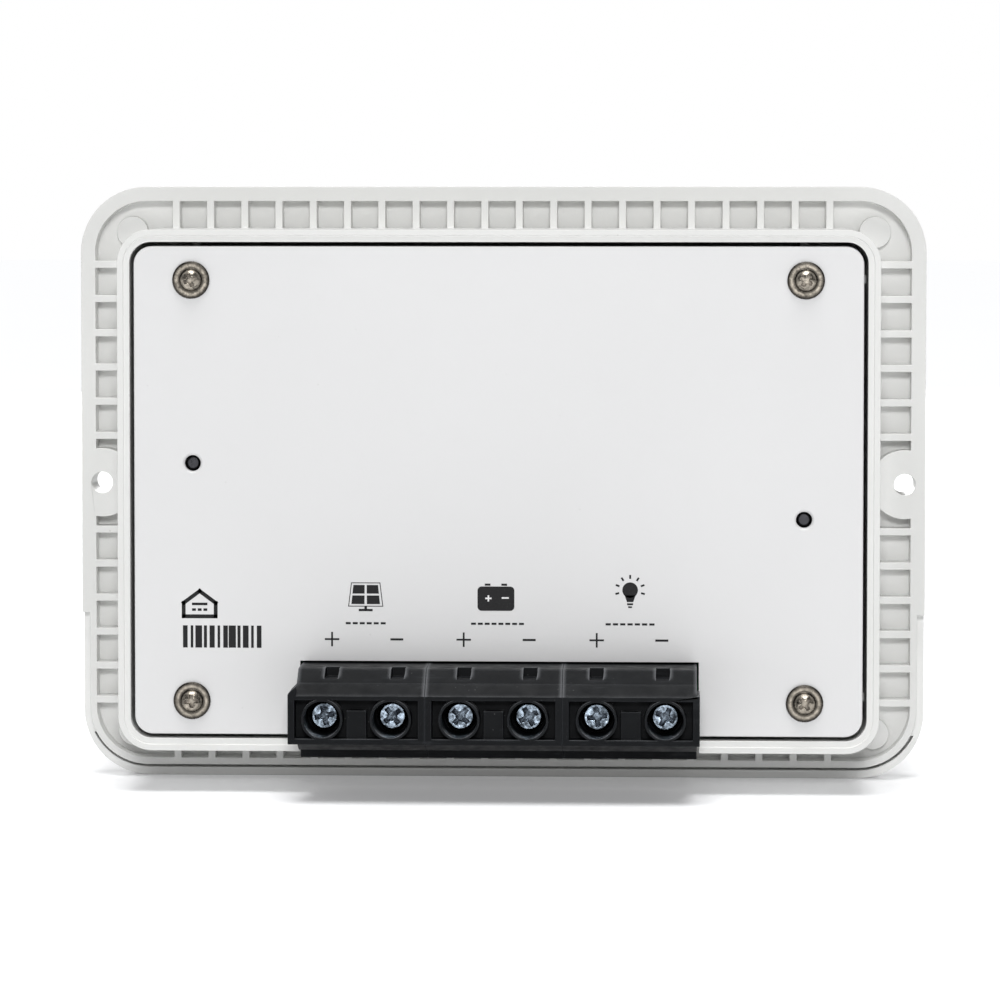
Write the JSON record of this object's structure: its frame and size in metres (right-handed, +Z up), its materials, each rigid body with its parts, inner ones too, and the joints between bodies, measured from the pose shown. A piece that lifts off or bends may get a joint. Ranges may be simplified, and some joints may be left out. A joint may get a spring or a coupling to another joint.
{
  "type": "solar charge controller",
  "caption": "Flush-mount solar charge controller with a ribbed mounting flange, a metal cover plate, a screw terminal block and a display face with push buttons.",
  "frame": {"origin": "midway between the two mounting holes, on the flange face that meets the wall", "axes": "+Z up as installed, the display front faces -Y, the cover plate and terminals face +Y into the wall opening"},
  "size_m": [0.1666, 0.0512, 0.117],
  "materials": {
    "housing_plastic": "satin white moulding",
    "cover_paint": "white satin powder coat on aluminium",
    "cover_screw": "nickel plated",
    "terminal_plastic": "black flame-retardant moulding",
    "terminal_screw": "blue zinc plated",
    "cage_plating": "nickel plated",
    "contact_metal": "tinned brass",
    "circuit_board": "solder mask",
    "steel_screw": "zinc plated",
    "component_black": "moulded epoxy",
    "bar_steel": "plain",
    "thermal_pad": "soft silicone",
    "capacitor_sleeve": "shrink sleeve",
    "copper_winding": "enamelled copper",
    "lcd_glass": "polarised display glass",
    "backlight_plastic": "diffuser",
    "lens": "clear window",
    "overlay_film": "printed polyester film",
    "lamp_lens": "translucent",
    "button_plastic": "satin",
    "plunger_plastic": "satin"
  },
  "bodies": {
    "controller": {"front_housing": "housing_plastic", "back_plate": "cover_paint", "plate_screw_1": "cover_screw", "plate_screw_2": "cover_screw", "plate_screw_3": "cover_screw", "plate_screw_4": "cover_screw", "terminal_housing_1": "terminal_plastic", "terminal_housing_2": "terminal_plastic", "terminal_housing_3": "terminal_plastic", "contact_bar_1": "contact_metal", "contact_bar_2": "contact_metal", "contact_bar_3": "contact_metal", "contact_bar_4": "contact_metal", "contact_bar_5": "contact_metal", "contact_bar_6": "contact_metal", "main_board": "circuit_board", "board_screws": "steel_screw", "transistors_left": "component_black", "transistors_right": "component_black", "clamp_bar_left": "bar_steel", "clamp_bar_right": "bar_steel", "clamp_screw_left": "steel_screw", "clamp_screw_right": "steel_screw", "thermal_pad_left": "thermal_pad", "thermal_pad_right": "thermal_pad", "capacitor_1": "capacitor_sleeve", "capacitor_2": "capacitor_sleeve", "capacitor_3": "capacitor_sleeve", "inductor": "copper_winding", "control_chips": "component_black", "board_header": "component_black", "display_board": "circuit_board", "display_board_screws": "steel_screw", "lcd_glass": "lcd_glass", "lcd_backlight": "backlight_plastic", "display_window": "lens", "front_overlay": "overlay_film", "status_lamps": "lamp_lens", "tact_switches": "component_black"},
    "clamp_screw_1": {"terminal_screw_1": "terminal_screw"},
    "wire_cage_1": {"clamp_cage_1": "cage_plating"},
    "clamp_screw_2": {"terminal_screw_2": "terminal_screw"},
    "wire_cage_2": {"clamp_cage_2": "cage_plating"},
    "clamp_screw_3": {"terminal_screw_3": "terminal_screw"},
    "wire_cage_3": {"clamp_cage_3": "cage_plating"},
    "clamp_screw_4": {"terminal_screw_4": "terminal_screw"},
    "wire_cage_4": {"clamp_cage_4": "cage_plating"},
    "clamp_screw_5": {"terminal_screw_5": "terminal_screw"},
    "wire_cage_5": {"clamp_cage_5": "cage_plating"},
    "clamp_screw_6": {"terminal_screw_6": "terminal_screw"},
    "wire_cage_6": {"clamp_cage_6": "cage_plating"},
    "button_1": {"button_cap_1": "button_plastic", "switch_plunger_1": "plunger_plastic"},
    "button_2": {"button_cap_2": "button_plastic", "switch_plunger_2": "plunger_plastic"},
    "button_3": {"button_cap_3": "button_plastic", "switch_plunger_3": "plunger_plastic"}
  },
  "joints": [
    {"name": "terminal_screw_1_turn", "type": "hinge", "parent": "controller", "child": "clamp_screw_1", "pos_m": [0.0327, 0.0317, -0.0423], "axis": [0, -1, 0], "range_deg": [0, 2521]},
    {"name": "clamp_cage_1_lift", "type": "slide", "parent": "controller", "child": "wire_cage_1", "axis": [0, 1, 0], "range_m": [0, 0.0049]},
    {"name": "terminal_screw_2_turn", "type": "hinge", "parent": "controller", "child": "clamp_screw_2", "pos_m": [0.0197, 0.0317, -0.0423], "axis": [0, -1, 0], "range_deg": [0, 2521]},
    {"name": "clamp_cage_2_lift", "type": "slide", "parent": "controller", "child": "wire_cage_2", "axis": [0, 1, 0], "range_m": [0, 0.0049]},
    {"name": "terminal_screw_3_turn", "type": "hinge", "parent": "controller", "child": "clamp_screw_3", "pos_m": [0.0067, 0.0317, -0.0423], "axis": [0, -1, 0], "range_deg": [0, 2521]},
    {"name": "clamp_cage_3_lift", "type": "slide", "parent": "controller", "child": "wire_cage_3", "axis": [0, 1, 0], "range_m": [0, 0.0049]},
    {"name": "terminal_screw_4_turn", "type": "hinge", "parent": "controller", "child": "clamp_screw_4", "pos_m": [-0.0063, 0.0317, -0.0423], "axis": [0, -1, 0], "range_deg": [0, 2521]},
    {"name": "clamp_cage_4_lift", "type": "slide", "parent": "controller", "child": "wire_cage_4", "axis": [0, 1, 0], "range_m": [0, 0.0049]},
    {"name": "terminal_screw_5_turn", "type": "hinge", "parent": "controller", "child": "clamp_screw_5", "pos_m": [-0.0193, 0.0317, -0.0423], "axis": [0, -1, 0], "range_deg": [0, 2521]},
    {"name": "clamp_cage_5_lift", "type": "slide", "parent": "controller", "child": "wire_cage_5", "axis": [0, 1, 0], "range_m": [0, 0.0049]},
    {"name": "terminal_screw_6_turn", "type": "hinge", "parent": "controller", "child": "clamp_screw_6", "pos_m": [-0.0323, 0.0317, -0.0423], "axis": [0, -1, 0], "range_deg": [0, 2521]},
    {"name": "clamp_cage_6_lift", "type": "slide", "parent": "controller", "child": "wire_cage_6", "axis": [0, 1, 0], "range_m": [0, 0.0049]},
    {"name": "button_1_press", "type": "slide", "parent": "controller", "child": "button_1", "axis": [0, 1, 0], "range_m": [0, 0.0005], "stiffness_N_per_m": 1200, "springref_m": -0.0004},
    {"name": "button_2_press", "type": "slide", "parent": "controller", "child": "button_2", "axis": [0, 1, 0], "range_m": [0, 0.0005], "stiffness_N_per_m": 1200, "springref_m": -0.0004},
    {"name": "button_3_press", "type": "slide", "parent": "controller", "child": "button_3", "axis": [0, 1, 0], "range_m": [0, 0.0005], "stiffness_N_per_m": 1200, "springref_m": -0.0004}
  ],
  "couplings": [
    {"joint": "terminal_screw_1_turn", "follows": "clamp_cage_1_lift", "rad_per_m": 8976},
    {"joint": "terminal_screw_2_turn", "follows": "clamp_cage_2_lift", "rad_per_m": 8976},
    {"joint": "terminal_screw_3_turn", "follows": "clamp_cage_3_lift", "rad_per_m": 8976},
    {"joint": "terminal_screw_4_turn", "follows": "clamp_cage_4_lift", "rad_per_m": 8976},
    {"joint": "terminal_screw_5_turn", "follows": "clamp_cage_5_lift", "rad_per_m": 8976},
    {"joint": "terminal_screw_6_turn", "follows": "clamp_cage_6_lift", "rad_per_m": 8976}
  ]
}
